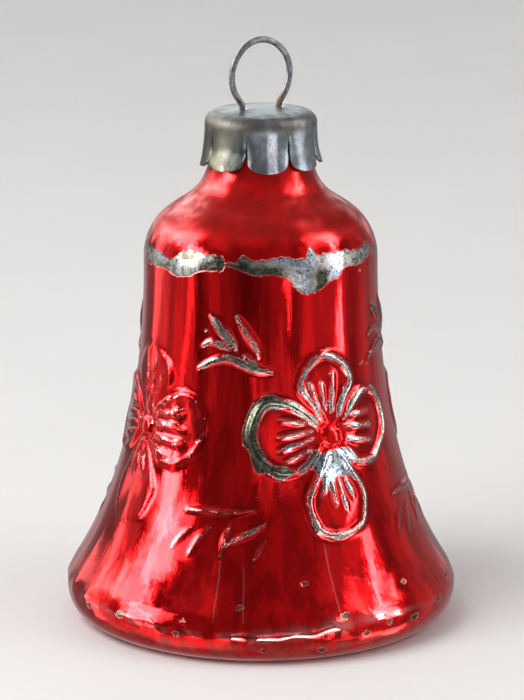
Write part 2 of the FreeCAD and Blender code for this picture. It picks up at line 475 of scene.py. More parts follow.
# How wide each petal's ridge is worn, in millimetres either side of its crest, for each flower in turn.
# The heart's number is the size of its worn patch, the vein's is how far the veins are rubbed.
FLOWER_WEAR = [
    {"left": 0.48, "right": 0.33, "top": 0.27, "bottom": 0.24, "heart": 1.0, "vein": 0.9},
    {"left": 0.1, "right": 0.22, "top": 0.3, "bottom": 0.18, "heart": 0.2, "vein": 0.4},
    {"left": 0.35, "right": 0.15, "top": 0.42, "bottom": 0.4, "heart": 0.7, "vein": 0.6},
    {"left": -0.3, "right": -0.08, "top": -0.3, "bottom": -0.4, "heart": -0.5, "vein": 0.06},
]
# How crisply each flower's petals came out of the mould.
FLOWER_STRENGTH = [
    {"left": 1.0, "right": 1.0, "top": 1.0, "bottom": 1.0},
    {"left": 0.45, "right": 0.8, "top": 0.8, "bottom": 0.7},
    {"left": 0.8, "right": 1.0, "top": 0.9, "bottom": 0.9},
    {"left": 0.55, "right": 0.42, "top": 0.25, "bottom": 0.12},
]
# The flower on the left is blurred, with many fine rays instead of four clear petals.
BLURRED_FLOWER = 3
FINE_RAYS = [
    [(4, 2.0), (15, 4.2)], [(5, 1.2), (24, 3.2)], [(5, -1.5), (18, -3.2)], [(1, 3), (2.5, 8.2)],
    [(-2, 3), (-4, 7.2)], [(1.5, -2.5), (4.0, -6.0)], [(-1.5, -2.5), (-2.5, -6.5)],
    [(-4, 0.5), (-22, 1.6)], [(-4, -0.8), (-20, -2.2)],
    [(4, -0.9), (26, -0.6)], [(4, 0.6), (25, 1.4)], [(3.5, 2.4), (8.5, 7.0)],
]
# Tone of the bare metal on each petal's ridge, and elsewhere on the flower and the lip.
PETAL_TONES = {"left": 0.3, "right": 0.58, "top": 0.64, "bottom": 0.6}
HEART_TONE = 0.75
VEIN_TONE = 0.66
CHIP_TONE = 0.22


def petal_relief(signed, away, strength):
    """Height of a petal's ridge and pillow, by signed distance from the ridge's crest."""
    width = RIDGE_WIDTH * (0.55 + 0.45 * away)
    crest = RIDGE_HEIGHT * (0.6 + 0.4 * away) * np.exp(-(signed / width) ** 2)
    return strength * (crest + PILLOW_HEIGHT * smoothstep(0.9, -0.9, signed))


def petal_crease_shade(signed, away, strength, blurred):
    """Painted shade in the creases on both sides of a petal's ridge, and over the petals of the blurred
    flower.
    """
    inner = np.exp(-((signed + 0.95) / 0.4) ** 2)
    outer = 0.8 * np.exp(-((signed - 0.85) / 0.25) ** 2)
    crease_shading = strength * away * np.maximum(inner, outer)
    return np.maximum(crease_shading, 0.4 * smoothstep(0.6, 0.0, signed)) if blurred else crease_shading


def wear_petal(surface, where, name, index, across, signed, away, uneven):
    """Rubs a petal's ridge bare along its crest, wider and darker at the outer edge of the left petal."""
    width = FLOWER_WEAR[index][name] * (1 + 0.45 * uneven)
    shift = 0.0
    tone = PETAL_TONES[name]
    if name == "left":
        tone = tone - 0.18 * smoothstep(-5.5, -8.0, across)
    if name == "left" and index == 0:
        outer = smoothstep(-5.5, -9.0, across)
        width = width + 0.3 * outer
        shift = 0.08 * outer
    depth = width * away - 0.5 * (1 - away) - np.abs(signed - shift)
    surface.scrape(where, depth, tone)
    halo = 0.1 if index == BLURRED_FLOWER else 0.45
    surface.raise_to("thin", where, halo * smoothstep(-0.28, 0.05, depth))


def add_veins(surface, where, points, index, height, within_any, uneven):
    """Raises the veins of a flower's petals, and rubs them."""
    blurred = index == BLURRED_FLOWER
    rays = FINE_RAYS + [vein for vein in VEINS if abs(vein[0][1]) < 2.5] if blurred else VEINS
    rib_width = FINE_RIB_WIDTH if blurred else RIB_WIDTH
    rubbing = FLOWER_WEAR[index]["vein"]
    for vein in rays:
        line = flower_points(vein)
        gap, along = to_segments(points, line[:-1], line[1:])
        taper = np.sin(np.pi * np.clip(along * 0.8 + 0.15, 0, 1)) ** 0.7
        rib = RIB_HEIGHT * np.exp(-(gap / rib_width) ** 2) * taper
        # Painted shade: a dark line along each side of the vein, inside the petals.
        surface.raise_to("crease_shade", where, 0.6 * np.exp(-((gap - 0.62) / 0.16) ** 2) * taper * within_any)
        if vein in VEINS:
            height = np.where(within_any, np.maximum(height, PILLOW_HEIGHT + rib), height)
        else:
            height = np.maximum(height, rib * 1.3)
        surface.raise_to("thin", where, rubbing * smoothstep(0.42, 0.1, gap) * taper)
        depth = (0.24 + 0.2 * uneven) * taper * smoothstep(0.3, 0.9, rubbing) - gap - 0.05
        surface.scrape(where, depth, VEIN_TONE)
    return height


def add_heart(surface, where, points, index, height, apart, uneven):
    """Puts the button in the middle of a flower, and rubs a patch under it bare."""
    groove = -0.14 * np.exp(-((apart - BUTTON_RADIUS * 1.2) / 0.25) ** 2)
    dome = np.sqrt(np.clip(1 - (apart / BUTTON_RADIUS) ** 2, 0, 1))
    height = np.where(apart < BUTTON_RADIUS, PILLOW_HEIGHT + BUTTON_HEIGHT * dome, height + groove)
    patch = flower_points([(-1.0, -3.3)])[0]
    spread = np.sqrt(((points[:, 0] - patch[0]) / 2.75) ** 2 + ((points[:, 1] - patch[1]) / 1.75) ** 2)
    depth = (FLOWER_WEAR[index]["heart"] - spread) * 1.75 + 0.35 * uneven
    surface.scrape(where, np.minimum(depth, apart - 1.15), HEART_TONE)
    return height


def add_flower(surface, index):
    azimuth = FLOWER_AZIMUTH + index * 360 / COPIES
    where, points = surface.window(azimuth, FLOWER_REACH, FLOWER_FOOT, FLOWER_TOP)
    jitter = waves(40 + index, (9, 40), 1.2)
    uneven = jitter(surface.azimuth[None, :], surface.height[:, None])[where].ravel()
    heart = flower_points([(0.5, -0.1)])[0]
    apart = np.sqrt(((points - heart) ** 2).sum(1))
    away = smoothstep(1.3, 3.4, apart)
    blurred = index == BLURRED_FLOWER
    height = np.zeros(len(points))
    within_any = np.zeros(len(points), bool)
    for name, ridge in PETALS.items():
        outline = smooth_curve(flower_points(ridge), closed=True)
        gap, _ = to_segments(points, outline, np.roll(outline, -1, 0))
        within = inside(points, outline)
        within_any |= within
        signed = np.where(within, -gap, gap)
        strength = FLOWER_STRENGTH[index][name]
        height = np.maximum(height, petal_relief(signed, away, strength))
        # Painted shade in the creases beside the petal's ridge.
        surface.raise_to("crease_shade", where, petal_crease_shade(signed, away, strength, blurred))
        if blurred:
            rubbed = 0.1 * strength * smoothstep(0.4, -0.6, signed) * (0.75 + 0.4 * uneven)
            surface.raise_to("thin", where, rubbed)
        wear_petal(surface, where, name, index, points[:, 0], signed, away, uneven)
    height = add_veins(surface, where, points, index, height, within_any, uneven)
    height = height + 0.035 * uneven * within_any
    height = add_heart(surface, where, points, index, height, apart, uneven)
    surface.raise_to("relief", where, height)


def add_sprig(surface, index):
    azimuth = SPRIG_AZIMUTH + index * 360 / COPIES
    where, points = surface.window(azimuth, SPRIG_REACH, FLOWER_FOOT, SPRIG_TOP)
    for number, (line, half_width, leaf_height) in enumerate(LEAVES):
        curve = smooth_curve(flat_points(line), closed=False)
        gap, along = to_segments(points, curve[:-1], curve[1:])
        width = half_width * (0.35 + 0.75 * np.sin(np.pi * np.clip(along, 0.02, 0.98)) ** 0.8)
        bump = leaf_height * (width / half_width) * np.clip(1 - (gap / (1.45 * width)) ** 2, 0, 1) ** 1.5
        surface.raise_to("relief", where, bump)
        lower = number >= LOWER_LEAVES
        rubbed = 0.75 - 0.12 * ((number * 7 + index * 5) % 4)
        rubbed = rubbed - 0.47 * lower - 0.25 * (number in FAINT_LEAVES)
        surface.scrape(where, width * rubbed - gap, 0.32 + 0.06 * (number % 3))
        halo = 0.14 if lower else 0.42
        surface.raise_to("thin", where, halo * smoothstep(width * 1.15, width * 0.5, gap))
        # Painted shade: a dark ring round the foot of each leaf.
        surface.raise_to("crease_shade", where, 0.7 * np.exp(-((gap - 1.25 * width) / 0.22) ** 2))


# The bare band round the shoulder: degrees from the front flower, then the heights of its two edges.
BAND_TOP = [
    (-109, 46.2), (-93, 46.3), (-83, 45.6), (-78, 45.8), (-73, 46.8), (-65, 46.95), (-57, 46.8), (-50, 46.9),
    (-48.5, 45.9), (-43, 46.2), (-40, 47.0), (-34, 46.4), (-27, 46.5), (-21, 46.9), (-15, 46.5), (-8.5, 46.5),
    (-5.5, 48.0), (-2.5, 46.6), (2, 46.8), (14, 46.8), (24, 46.5), (35, 47.0), (39, 46.0),
]
BAND_FOOT = [
    (-109, 44.3), (-93, 44.4), (-83, 44.2), (-75, 43.7), (-69, 44.0), (-61, 44.9), (-50, 45.1), (-48.5, 45.7),
    (-43, 45.5), (-40, 45.2), (-34, 44.8), (-25, 44.7), (-18, 44.5), (-14, 42.9), (-9, 42.15), (-4, 42.3),
    (0, 42.95), (5, 43.6), (10, 43.9), (14, 44.9), (27, 44.8), (32, 45.2), (39, 46.0),
]
# On the hidden side the band wanders round one height, within this zone.
BAND_HEIGHT = 45.7
BAND_ZONE = (40, 50)
# Tone of the bare metal along the band and along its foot: 0 is dark olive, 0.7 blue silver, 1 cream.
BAND_TONES = [
    (-109, 0.45), (-92, 0.45), (-89, 0.95), (-86, 0.9), (-83, 0.3), (-76, 0.3), (-73, 1.0),
    (-65, 1.0), (-62, 0.35), (-51, 0.25), (-40, 0.3), (-30, 0.35), (-25, 0.75), (-6, 0.8),
    (-2, 0.5), (4, 0.6), (7, 0.75), (13, 0.7), (16, 0.42),
]
BAND_FOOT_TONES = [
    (-109, 0.4), (-83, 0.3), (-75, 0.5), (-65, 0.5), (-62, 0.25), (-51, 0.2), (-40, 0.12), (-24, 0.12),
    (-18, 0.4), (-10, 0.72), (-5, 0.6), (-2, 0.08), (2, 0.08), (5, 0.82), (11, 0.8), (14, 0.4),
]


def add_shoulder_band(surface):
    around = wrapped(surface.azimuth - FLOWER_AZIMUTH)
    hidden = (around > BAND_TOP[-1][0]) | (around < BAND_TOP[0][0])
    wander = waves(71, (3, 17), 0.0)
    ragged = waves(72, (9, 60), 0.0)
    middle = BAND_HEIGHT + 0.45 * wander(surface.azimuth, 0)
    swell = waves(73, (2, 11), 0.0)
    half = 0.3 + 0.45 * swell(surface.azimuth, 0) + 0.22 * ragged(surface.azimuth, 0)
    top = np.where(hidden, middle + half, np.interp(around, *np.array(BAND_TOP).T))
    foot = np.where(hidden, middle - half, np.interp(around, *np.array(BAND_FOOT).T))
    tone = np.interp(around, *np.array(BAND_TONES).T)
    zone = (surface.height > BAND_ZONE[0]) & (surface.height < BAND_ZONE[1])
    rows = np.where(zone & (surface.run > WIDEST_RUN))[0]
    where = np.ix_(rows, np.arange(COLUMNS))
    level = surface.height[rows][:, None]
    depth = np.minimum(top[None, :] - level, level - foot[None, :])
    low_tone = np.interp(around, *np.array(BAND_FOOT_TONES).T)
    low = smoothstep(0.75, 0.35, (level - foot[None, :]) / np.maximum(top - foot, 0.2)[None, :])
    surface.scrape(where, depth, tone[None, :] + (low_tone - tone)[None, :] * low)


# Chips on the lip that show from the front: degrees from the front flower, height, size.
CHIPS = [
    (-17, 9.5, 0.34), (-37.5, 7.0, 0.38), (-5.7, 5.4, 0.5), (-54, 5.3, 0.36), (19, 7.7, 0.45),
    (19.5, 3.8, 0.6), (9, 3.9, 0.45), (-56, 3.8, 0.4), (-76, 4.4, 0.55), (-30, 1.9, 0.5),
    (-13, 1.8, 0.45), (33, 4.6, 0.5), (-91, 4.0, 0.5), (1, 3.4, 0.5),
]
# How many chips are scattered on the hidden part of the lip, and how many specks all over.
HIDDEN_CHIPS = 22
SPECKS = 26


def add_seam(surface):
    """Faint wavy ridge round the lip where the mould's two parts met, its lacquer rubbed pale, and over the
    front painted paler and wider as a highlight, on a taller ridge.
    """
    wander = waves(81, (2, 9), 0.0)
    uneven = waves(82, (10, 40), 0.0)
    turn = np.radians(surface.azimuth + 16)
    level = SEAM_LEVEL + 0.5 * np.sin(3 * turn)
    level = level + 0.15 * wander(surface.azimuth, 0) + 0.12 * uneven(surface.azimuth, 0)
    rows = np.where((surface.height < 7) & (surface.run > WIDEST_RUN - 3))[0]
    where = np.ix_(rows, np.arange(COLUMNS))
    gap = surface.height[rows][:, None] - level[None, :]
    strength = 0.75 + 0.35 * uneven(surface.azimuth + 40, 0)
    highlight_zone = smoothstep(28, 12, np.abs(wrapped(surface.azimuth + 17)))
    ridge = SEAM_HEIGHT * (strength * (1 + 1.1 * highlight_zone))[None, :] * np.exp(-(gap / 0.8) ** 2)
    surface.raise_to("relief", where, ridge)
    # Painted highlight: over the front the pale rubbed lacquer on the seam is made wider and stronger, so the
    # mirrored light shows pink-white.
    width = 0.22 + 0.45 * highlight_zone
    rubbing = 0.7 * smoothstep(0.3, 0.9, strength) + 0.2 * highlight_zone
    surface.raise_to("thin", where, rubbing[None, :] * np.exp(-(gap / width[None, :]) ** 2))


def add_chips(surface):
    random = np.random.default_rng(9)
    chips = [(FLOWER_AZIMUTH + around, height, size) for around, height, size in CHIPS]
    chips += [
        (random.uniform(45, 255), random.uniform(2.2, 6.5), random.uniform(0.18, 0.5))
        for _ in range(HIDDEN_CHIPS)
    ]
    chips += [
        (random.uniform(-180, 180), random.uniform(6, 54), random.uniform(0.1, 0.2))
        for _ in range(SPECKS)
    ]
    for azimuth, height, size in chips:
        rows = np.where((np.abs(surface.height - height) < 1.6) & (surface.run > LIP_RUN - 4.2))[0]
        away = wrapped(surface.azimuth - azimuth)
        columns = np.where(np.abs(away) < 7)[0]
        across = surface.radius[rows][:, None] * np.radians(away[columns])[None, :]
        middle = rows[np.argmin(np.abs(surface.height[rows] - height))]
        up = (surface.run[rows] - surface.run[middle])[:, None]
        surface.scrape(np.ix_(rows, columns), 0.75 * size - np.hypot(across / 1.5, up), CHIP_TONE)


# ---------------------------------------------------------------- the three walls of the bell

wobble = waves(5, (2, 7), 0.12, 9)
ripple = waves(6, (8, 22), 0.25, 12)


def wall_points(run, depth, relief, top_edge):
    """Rows of points on the bell's wall, a depth below its outside."""
    radius, height, out, rise = outline_rows(run)
    azimuth = np.arange(COLUMNS) * 360 / COLUMNS - 180
    # The underside and the standing ring stay true, and so does the neck where the cap sits.
    flat = (np.interp(height, [0.0, 6.0], [0.0, 1.0]) * (run > WIDEST_RUN - WOBBLE_STOP))[:, None]
    steady = np.interp(height, [50.0, 54.0], [1.0, 0.15])[:, None]
    grid = np.broadcast_arrays(azimuth[None, :], height[:, None])
    lift = (0.07 * wobble(*grid) + 0.018 * ripple(*grid)) * flat * steady + relief - depth
    along = radius[:, None] + out[:, None] * lift
    level = height[:, None] + rise[:, None] * lift
    # The end of the neck is stretched so that its edge comes to the wanted height all round.
    stretch = (top_edge - NECK_FOOT) / (height[-1] - NECK_FOOT)
    stretched = NECK_FOOT + (level - NECK_FOOT) * stretch[None, :]
    level = np.where(level > NECK_FOOT, stretched, level)
    return on_circle(along, azimuth[None, :], level)


def bell_wall(name, outer_run, inner_run, depths, top_edge, relief=0.0):
    """Closed wall of the bell: up the outside, over the edge at the neck and down the inside."""
    outer = wall_points(outer_run, depths[0], relief, top_edge)
    inner = wall_points(inner_run, depths[1], 0.0, top_edge)[::-1]
    rows = np.concatenate([outer, inner])
    count, columns, _ = rows.shape
    points = rows.reshape(-1, 3)
    centre = count * columns
    base = (count - 1) * columns
    middles = [[0, 0, outer[0, :, 2].mean()], [0, 0, inner[-1, :, 2].mean()]]
    faces = ring_faces(count, columns)
    faces += [[centre, (index + 1) % columns, index] for index in range(columns)]
    faces += [[centre + 1, base + index, base + (index + 1) % columns] for index in range(columns)]
    return make_object(name, np.concatenate([points, middles]), faces)


def build_bell():
    underside_end = LIP_RUN - 8.0
    outer = rows_along([
        (underside_end, 1.7), (LIP_RUN - 2.0, 0.42), (RELIEF_START, 0.4), (RELIEF_END, 0.275),
        (run_at(SHOULDER_TOP), 0.33), (run_at(ROOF_TOP), 0.55), (run_at(LACQUER_EDGE), 0.32),
    ])
    inner = rows_along([
        (underside_end, 4.0), (RELIEF_START, 1.6), (RELIEF_END, 5.0), (run_at(LACQUER_EDGE), 2.2),
    ])
    surface = Surface(outer)
    for index in range(COPIES):
        add_flower(surface, index)
        add_sprig(surface, index)
    add_shoulder_band(surface)
    add_seam(surface)
    add_chips(surface)
    azimuth = surface.azimuth
    dip = waves(31, (2, 9), 0.0)
    tide = waves(32, (20, 70), 0.0)
    lacquer_top = LACQUER_EDGE - 0.45 + 0.3 * dip(azimuth, 0) + 0.08 * tide(azimuth, 0)
    lacquer = bell_wall(
        "bell_lacquer", outer, inner, (0.0, LACQUER_DEPTH), lacquer_top, relief=surface.relief,
    )
    extra = len(inner) * COLUMNS + 2
    for name, rest in (("wear", WHOLE), ("thin", 0.0), ("tone", 0.5), ("crease_shade", 0.0)):
        values = getattr(surface, name).ravel()
        add_attribute(lacquer, name, np.concatenate([values, np.full(extra, rest)]))
    coarse = rows_along([
        (underside_end, 2.6), (RELIEF_START, 0.9), (RELIEF_END, 1.1),
        (run_at(ROOF_TOP), 1.2), (RUN[-1], 0.45),
    ])
    chipped = waves(33, (12, 60), 0.0)
    rim = NECK_HEIGHT - 0.12 + 0.06 * chipped(azimuth, 0)
    glass = bell_wall("bell_glass", coarse, coarse, (LACQUER_DEPTH + 0.01, GLASS_DEPTH), rim)
    lining_rows = coarse[coarse < run_at(SILVER_EDGE)]
    faded = SILVER_EDGE - 0.3 + 0.22 * tide(azimuth, 0)
    lining = bell_wall("bell_silvering", lining_rows, lining_rows, (GLASS_DEPTH + 0.01, SILVER_DEPTH), faded)
    return lacquer, glass, lining


lacquer, glass, lining = build_bell()
hand_over(lacquer, "bell", "red_lacquer")
hand_over(glass, "bell", "glass_shell")
hand_over(lining, "bell", "silver_lining")

# ---------------------------------------------------------------- the crown cap

SHEET = 0.3
CROWN_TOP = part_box("crown_cap")[1].z * PER_MM
CROWN_RISE = 0.3
CROWN_EDGE = CROWN_TOP - CROWN_RISE
SKIRT_RADIUS = 6.7
CROWN_CORNER = 1.4
TIP_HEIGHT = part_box("crown_cap")[0].z * PER_MM
TIP_RADIUS = 7.15
SKIRT_BEND = 58.6
PETAL_COUNT = 8
PETAL_COLUMNS = 26
NOTCH_DEPTH = 1.6
HOLE_RADIUS = 0.575
HOLE_SIDES = 28
BURR_WIDTH = 0.16
DISC_SIDES = 40
LEG_SPREAD = 2.5
SKIRT_ROWS = 30
# Azimuth of the painted highlight stripe on the cap's front petal.
HIGHLIGHT_STRIPE_AZIMUTH = -18.5
CORNER_ROWS = 9

# For each petal in turn from -Y towards +X: how far its tip springs out, and its length.
PETAL_SPRING = [0.02, 0.1, 0.3, 0.05, 0.12, 0.0, 0.45, 0.1]
PETAL_LONGER = [0.05, -0.1, 0.0, 0.1, -0.05, 0.05, -0.1, 0.0]
# For each boundary between petals: the height of its slit's top and the gap at its foot.
SLIT_TOP = [59.7, 59.0, 59.0, 58.6, 59.2, 58.8, 59.3, 58.7]
SLIT_GAP = [0.22, 0.16, 0.16, 0.18, 0.2, 0.16, 0.24, 0.2]

dent = waves(21, (1, 6), 0.6, 8)
crumple = waves(22, (7, 24), 1.6, 10)


def skirt_radius(height):
    share = np.clip((SKIRT_BEND - height) / (SKIRT_BEND - TIP_HEIGHT), 0, 1)
    return SKIRT_RADIUS + (TIP_RADIUS - SKIRT_RADIUS) * share ** 2


def petal_patch(index):
    """Grid of points on one petal and the stretch of corner above it."""
    pitch = 360 / PETAL_COUNT
    across = np.linspace(-1, 1, PETAL_COLUMNS + 1)
    azimuth = index * pitch + (across + 1) / 2 * pitch
    corner = np.radians(np.linspace(90, 0, CORNER_ROWS))
    corner_foot = CROWN_EDGE - CROWN_CORNER
    rows = []
    for angle in corner:
        radius = SKIRT_RADIUS - CROWN_CORNER + CROWN_CORNER * math.cos(angle)
        height = corner_foot + CROWN_CORNER * math.sin(angle)
        radius = radius + 0.02 * crumple(azimuth, height) + 0.03 * dent(azimuth, height)
        rows.append(np.stack([radius, np.full(len(across), height), azimuth], 1))
    lobe = NOTCH_DEPTH * (1 - np.sqrt(np.clip(1 - np.abs(across) ** 2.1, 0, 1)))
    foot = TIP_HEIGHT + lobe - PETAL_LONGER[index] * (1 - across ** 2) + 0.1
    neighbours = (index, (index + 1) % PETAL_COUNT)
    for step in range(1, SKIRT_ROWS + 1):
        share = step / SKIRT_ROWS
        height = corner_foot + (foot - corner_foot) * share
        bend = smoothstep(0.05, 0.75, share)
        cup = 0.18 * (1 - across ** 2) * bend - 0.2 * np.abs(across) ** 7 * bend
        spring = PETAL_SPRING[index] * smoothstep(0.45, 1.0, share) ** 1.5
        radius = skirt_radius(height) + cup + spring
        radius = radius + 0.03 * dent(azimuth, height) + 0.022 * crumple(azimuth, height)
        opened = azimuth.copy()
        for side, boundary in zip((0, -1), neighbours):
            below = (SLIT_TOP[boundary] - height[side]) / (SLIT_TOP[boundary] - TIP_HEIGHT - NOTCH_DEPTH)
            gap = SLIT_GAP[boundary] / 2 * min(max(below, 0.0), 1.0) ** 0.6
            shift = math.degrees(gap / SKIRT_RADIUS) * (1 if side == 0 else -1)
            near = np.clip(1 - np.abs(across - across[side]) / 0.3, 0, 1) ** 2
            opened = opened + shift * near
        rows.append(np.stack([radius, height, opened], 1))
    return np.array(rows)


def crown_disc():
    """Points and triangles of the cap's top, with the two wire holes left open."""
    rim_radius = SKIRT_RADIUS - CROWN_CORNER
    rim_count = PETAL_COUNT * PETAL_COLUMNS
    holes = [Vector((side * LEG_SPREAD, 0)) for side in (-1, 1)]
    loops = [(0.0, rim_radius, rim_count)]
    loops += [(hole.x, HOLE_RADIUS, HOLE_SIDES) for hole in holes]
    loops += [(hole.x, HOLE_RADIUS + BURR_WIDTH, HOLE_SIDES) for hole in holes]
    loops += [(0.0, radius, DISC_SIDES) for radius in (1.1, 4.2)]
    points = []
    edges = []
    for middle, radius, count in loops:
        base = len(points)
        for index in range(count):
            angle = math.radians(index * 360 / count)
            points.append(Vector((middle + radius * math.sin(angle), -radius * math.cos(angle))))
            edges.append((base + index, base + (index + 1) % count))
    flat, _, triangles, _, _, _ = delaunay_2d_cdt(points, edges, [], 0, 1e-6)
    kept = []
    for triangle in triangles:
        middle = sum((flat[index] for index in triangle), Vector((0, 0))) / 3
        if all((middle - hole).length > HOLE_RADIUS for hole in holes):
            kept.append(list(triangle))
    solid = []
    for point in flat:
        radius = point.length
        azimuth = math.degrees(math.atan2(point.x, -point.y))
        rise = CROWN_RISE * (1 - (radius / rim_radius) ** 2)
        from_edges = [(point - hole).length - HOLE_RADIUS for hole in holes]
        burr = 0.07 * sum(math.exp(-(gap / 0.12) ** 2) for gap in from_edges)
        wave = 0.03 * dent(azimuth, 0) * (radius / rim_radius)
        solid.append((point.x, point.y, CROWN_EDGE + rise + burr + wave * (1 - (radius / rim_radius) ** 4)))
    return solid, kept


def build_cap():
    points = []
    faces = []
    for index in range(PETAL_COUNT):
        patch = petal_patch(index)
        count, columns, _ = patch.shape
        base = len(points)
        placed = on_circle(patch[:, :, 0], patch[:, :, 2], patch[:, :, 1])
        points.extend(placed.reshape(-1, 3).tolist())
        for row in range(count - 1):
            for column in range(columns - 1):
                here = base + row * columns + column
                faces.append([here + columns, here + columns + 1, here + 1, here])
    base = len(points)
    disc_points, disc_faces = crown_disc()
    points.extend(disc_points)
    faces.extend([[base + index for index in face] for face in disc_faces])
    cap = make_object("cap_shell", points, faces)
    weld = cap.modifiers.new("weld", "WELD")
    weld.merge_threshold = 0.02 * MM
    sheet = cap.modifiers.new("sheet", "SOLIDIFY")
    sheet.thickness = SHEET * MM
    sheet.offset = -1
    round_edge = cap.modifiers.new("round_edge", "BEVEL")
    round_edge.width = 0.06 * MM
    round_edge.segments = 2
    round_edge.limit_method = "ANGLE"
    round_edge.angle_limit = math.radians(50)
    bake_modifiers(cap, 50)
    return cap


cap = build_cap()
hand_over(cap, "cap", "crown_cap")

# ---------------------------------------------------------------- the hanger wire

WIRE_RADIUS = 0.375
LOOP_RADIUS = 4.1
LOOP_HEIGHT = 66.1
LOOP_END_ANGLE = 35.0
LEG_STRAIGHT_END = 58.6
GRIP_RADIUS = 5.02
GRIP_HEIGHT = 55.6
WIRE_TIP = (3.9, 43.0)
WIRE_SIDES = 20
WIRE_ROWS = 420


def rounded_line(corners, bends):
    """Polyline whose inner corners are arcs of the given radii."""
    corners = [np.array(corner, float) for corner in corners]
    pieces = []
    start = corners[0]
    for before, corner, after, bend in zip(corners, corners[1:], corners[2:], bends):
        incoming = (corner - before) / np.linalg.norm(corner - before)
        outgoing = (after - corner) / np.linalg.norm(after - corner)
        turn = math.atan2(incoming[0] * outgoing[1] - incoming[1] * outgoing[0], incoming @ outgoing)
        reach = bend * math.tan(abs(turn) / 2)
        side = math.copysign(1, turn)
        entry = corner - incoming * reach
        centre = entry + side * bend * np.array([-incoming[1], incoming[0]])
        spoke = complex(*(entry - centre))
        pieces.append(straight(start, entry, 12)[:-1])
        swept = spoke * np.exp(1j * np.linspace(0, turn, 10)[:-1])
        pieces.append(centre + np.stack([swept.real, swept.imag], 1))
        start = corner + outgoing * reach
    pieces.append(straight(start, corners[-1], 24))
    return np.concatenate(pieces)


def wire_path():
    """Centreline from one tip, up through the cap, round the loop and down to the other tip."""
    loop_end = np.array([0, LOOP_HEIGHT]) + toward(-LOOP_END_ANGLE) * LOOP_RADIUS
    knee_drop = (loop_end[0] - LEG_SPREAD) / math.tan(math.radians(LOOP_END_ANGLE))
    corners = [
        loop_end, (LEG_SPREAD, loop_end[1] - knee_drop), (LEG_SPREAD, LEG_STRAIGHT_END),
        (GRIP_RADIUS, GRIP_HEIGHT), WIRE_TIP,
    ]
    right = rounded_line(corners, [0.8, 1.5, 2.0])
    loop = arc((0, LOOP_HEIGHT), LOOP_RADIUS, -LOOP_END_ANGLE, 180 + LOOP_END_ANGLE)
    left = right * np.array([-1, 1])
    flat = np.concatenate([right[::-1], loop[1:-1], left])
    # Hand-bent wire is never quite round nor quite flat: the loop leans and wavers a little.
    above = smoothstep(62.6, 66.0, flat[:, 1])
    angle = np.arctan2(flat[:, 0], flat[:, 1] - LOOP_HEIGHT)
    waver = 0.07 * np.sin(2 * angle + 0.6) + 0.035 * np.sin(4 * angle + 2.1)
    lean = 0.2 * np.sin(angle + 0.4) * above
    out = unit(np.stack([flat[:, 0], flat[:, 1] - LOOP_HEIGHT], 1))
    flat = flat + out * (waver * above - 0.04 * above)[:, None]
    return np.stack([flat[:, 0], lean, flat[:, 1]], 1)


def build_wire():
    path = wire_path()
    run = distance_along(path)
    even = np.linspace(0, run[-1], WIRE_ROWS)
    path = resample(path, run, even)
    way = unit(np.gradient(path, axis=0))
    side = unit(np.cross(way, [0.0, 1.0, 0.0]))
    over = np.cross(side, way)
    around = np.radians(np.arange(WIRE_SIDES) * 360 / WIRE_SIDES)
    random = np.random.default_rng(3)
    drawn = np.interp(even, even[::12], random.uniform(-0.012, 0.012, len(even[::12])))
    rows = list(zip(path, WIRE_RADIUS + drawn, side, over))
    # Each end is rounded off by two smaller rings: size and reach in wire radii.
    for end, outward in ((0, -1), (len(path) - 1, 1)):
        tips = [
            (path[end] + way[end] * outward * WIRE_RADIUS * reach, WIRE_RADIUS * size, side[end], over[end])
            for size, reach in ((0.85, 0.2), (0.5, 0.34))
        ]
        rows = tips[::-1] + rows if end == 0 else rows + tips
    points = [
        middle + radius * (math.cos(a) * across + math.sin(a) * up)
        for middle, radius, across, up in rows for a in around
    ]
    faces = ring_faces(len(rows), WIRE_SIDES, inward=True)
    faces.append(list(range(WIRE_SIDES)))
    faces.append([(len(rows) - 1) * WIRE_SIDES + index for index in range(WIRE_SIDES)][::-1])
    return make_object("wire_hanger", points, faces)


wire = build_wire()
hand_over(wire, "hanger", "hanger_wire")

# ---------------------------------------------------------------- materials


class Value:
    """A number that a node tree works out, used with the usual signs of arithmetic."""

    def __init__(self, tree, socket):
        self.tree = tree
        self.socket = socket

    def __add__(self, other):
        return self.tree.math("ADD", self, other)

    def __sub__(self, other):
        return self.tree.math("SUBTRACT", self, other)

    def __rsub__(self, other):
        return self.tree.math("SUBTRACT", other, self)

    def __mul__(self, other):
        return self.tree.math("MULTIPLY", self, other)

    def __abs__(self):
        return self.tree.math("ABSOLUTE", self)

    def __gt__(self, other):
        return self.tree.math("GREATER_THAN", self, other)

    def __lt__(self, other):
        return self.tree.math("LESS_THAN", self, other)


